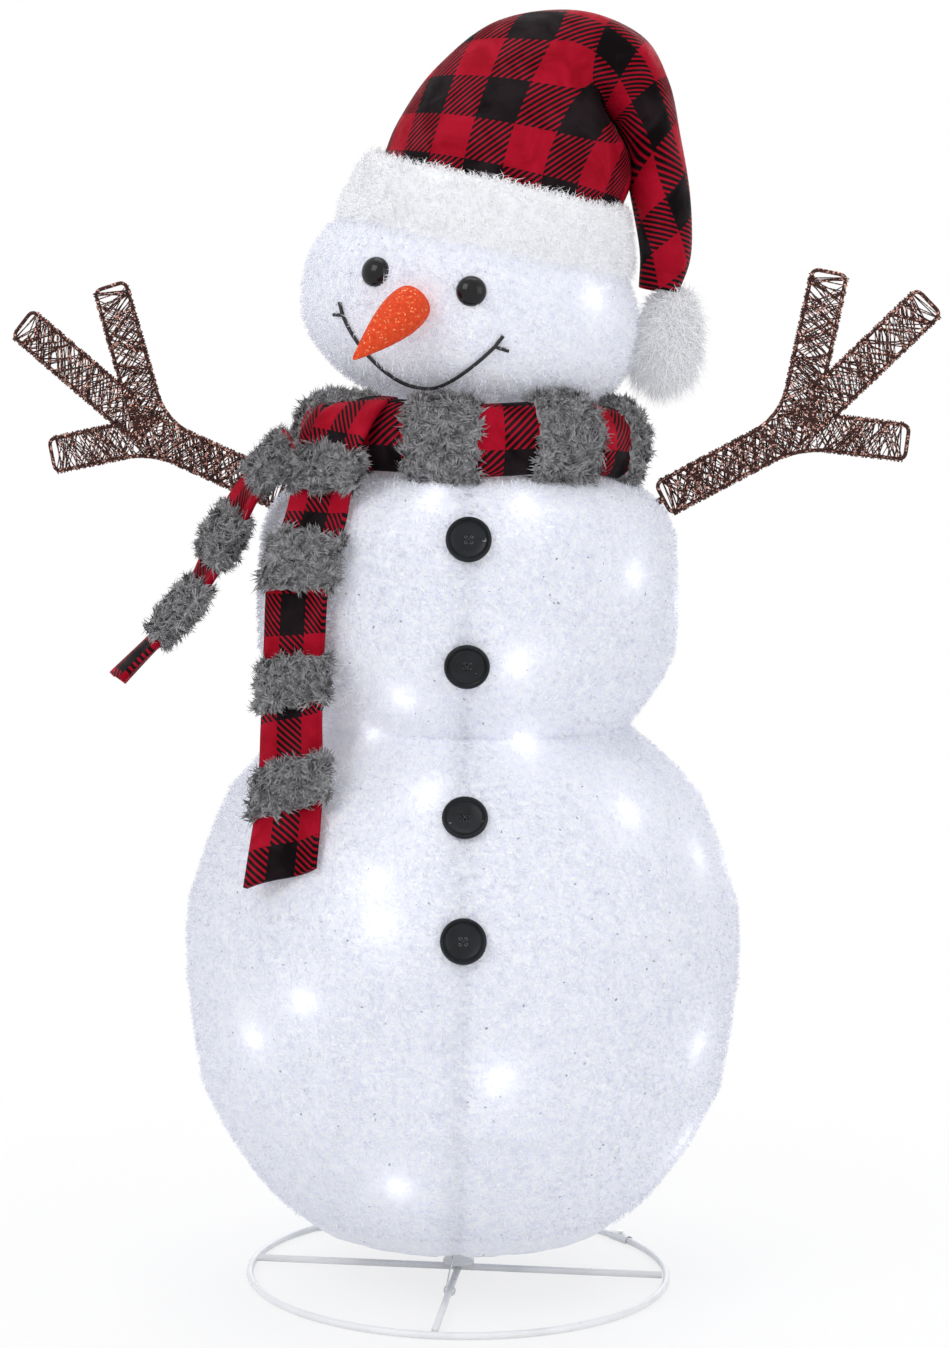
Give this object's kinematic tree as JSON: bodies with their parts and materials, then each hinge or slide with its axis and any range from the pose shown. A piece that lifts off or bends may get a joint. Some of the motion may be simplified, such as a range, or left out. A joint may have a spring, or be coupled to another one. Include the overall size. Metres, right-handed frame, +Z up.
{
  "type": "lit pop-up yard snowman",
  "caption": "Pop-up lit snowman: plush covers over wire hoops on a telescopic pole and ring stand, with plug-in twig arms, scarf, stocking cap and a head that turns.",
  "frame": {"origin": "on the ground under the pole, at the centre of the base ring", "axes": "+Z up along the pole, the body's front looks along -Y, +X to the viewer's right"},
  "size_m": [1.0987, 0.6597, 1.507],
  "materials": {
    "white_paint": "gloss white paint",
    "zinc_steel": "zinc plated wire",
    "white_plush": "short sparkling plush, lit from inside",
    "black_plastic": "satin black",
    "light_wire": "clear light wire with cool white bulbs",
    "brown_string": "glittery dark brown string over wire",
    "plaid_velvet": "red and black check velvet with grey fur bands",
    "orange_felt": "glitter felt",
    "black_thread": "embroidery thread"
  },
  "bodies": {
    "stand": {"base_ring_front": "white_paint", "base_ring_rear": "white_paint", "ring_coupling_left": "white_paint", "ring_coupling_right": "white_paint", "ring_bolt_left": "zinc_steel", "ring_bolt_right": "zinc_steel", "base_cross_bar": "white_paint", "front_spoke": "white_paint", "rear_spoke": "white_paint", "pole_socket": "white_paint", "socket_screw": "zinc_steel", "lower_pole": "white_paint", "pole_clamp": "white_paint", "clamp_screw": "zinc_steel", "chain_link_1": "zinc_steel", "chain_link_2": "zinc_steel", "chain_link_3": "zinc_steel", "chain_hook": "zinc_steel", "bottom_hoop": "zinc_steel", "light_connector": "black_plastic", "lower_body_cover": "white_plush", "middle_body_cover": "white_plush"},
    "mast": {"upper_pole": "white_paint", "neck_hoop": "zinc_steel", "scarf_wrap": "plaid_velvet", "scarf_knot": "plaid_velvet", "scarf_front_tail": "plaid_velvet", "scarf_side_tail": "plaid_velvet"},
    "head": {"head_cover": "white_plush", "head_frame": "zinc_steel", "head_lights": "light_wire", "hat_trim": "white_plush", "hat_crown": "plaid_velvet", "hat_pompom": "white_plush", "eye_left": "black_plastic", "eye_right": "black_plastic", "carrot_nose": "orange_felt", "mouth_stitch": "black_thread"},
    "low": {"low_hoop": "zinc_steel", "lights_low": "light_wire"},
    "belly": {"belly_hoop": "zinc_steel", "lights_belly": "light_wire"},
    "chest": {"chest_hoop": "zinc_steel", "button_4": "black_plastic"},
    "upper": {"upper_hoop": "zinc_steel", "lights_upper": "light_wire", "button_3": "black_plastic"},
    "waist": {"waist_hoop": "zinc_steel"},
    "rib": {"rib_hoop": "zinc_steel", "lights_rib": "light_wire", "button_2": "black_plastic"},
    "shoulder": {"shoulder_hoop": "zinc_steel", "lights_shoulder": "light_wire", "button_1": "black_plastic", "arm_sleeve_left": "zinc_steel", "arm_sleeve_right": "zinc_steel"},
    "arm_left": {"arm_left_frame": "brown_string", "arm_left_winding": "brown_string"},
    "arm_right": {"arm_right_frame": "brown_string", "arm_right_winding": "brown_string"}
  },
  "joints": [
    {"name": "pole_slide", "type": "slide", "parent": "stand", "child": "mast", "axis": [0, 0, -1], "range_m": [0, 0.4], "deforming": ["lower_body_cover", "middle_body_cover", "scarf_front_tail", "scarf_side_tail"]},
    {"name": "low_hoop_slide", "type": "slide", "parent": "stand", "child": "low", "axis": [0, 0, -1], "range_m": [0, 0.0727]},
    {"name": "belly_hoop_slide", "type": "slide", "parent": "stand", "child": "belly", "axis": [0, 0, -1], "range_m": [0, 0.129]},
    {"name": "chest_hoop_slide", "type": "slide", "parent": "stand", "child": "chest", "axis": [0, 0, -1], "range_m": [0, 0.171]},
    {"name": "upper_hoop_slide", "type": "slide", "parent": "stand", "child": "upper", "axis": [0, 0, -1], "range_m": [0, 0.2273]},
    {"name": "waist_hoop_slide", "type": "slide", "parent": "stand", "child": "waist", "axis": [0, 0, -1], "range_m": [0, 0.2648]},
    {"name": "rib_hoop_slide", "type": "slide", "parent": "stand", "child": "rib", "axis": [0, 0, -1], "range_m": [0, 0.3049]},
    {"name": "shoulder_hoop_slide", "type": "slide", "parent": "stand", "child": "shoulder", "axis": [0, 0, -1], "range_m": [0, 0.3662]},
    {"name": "head_turn", "type": "hinge", "parent": "mast", "child": "head", "pos_m": [0, 0, 1.245], "axis": [0, 0, 1], "range_deg": [-80, 80]},
    {"name": "arm_left_pull", "type": "slide", "parent": "shoulder", "child": "arm_left", "axis": [-0.9051, 0.1759, 0.387], "range_m": [0, 0.028]},
    {"name": "arm_right_pull", "type": "slide", "parent": "shoulder", "child": "arm_right", "axis": [0.8718, -0.0916, 0.4813], "range_m": [0, 0.028]}
  ],
  "couplings": [
    {"joint": "low_hoop_slide", "follows": "pole_slide", "ratio": 0.18038},
    {"joint": "belly_hoop_slide", "follows": "pole_slide", "ratio": 0.32131},
    {"joint": "chest_hoop_slide", "follows": "pole_slide", "ratio": 0.42616},
    {"joint": "upper_hoop_slide", "follows": "pole_slide", "ratio": 0.56708},
    {"joint": "waist_hoop_slide", "follows": "pole_slide", "ratio": 0.66065},
    {"joint": "rib_hoop_slide", "follows": "pole_slide", "ratio": 0.76099},
    {"joint": "shoulder_hoop_slide", "follows": "pole_slide", "ratio": 0.91432}
  ]
}
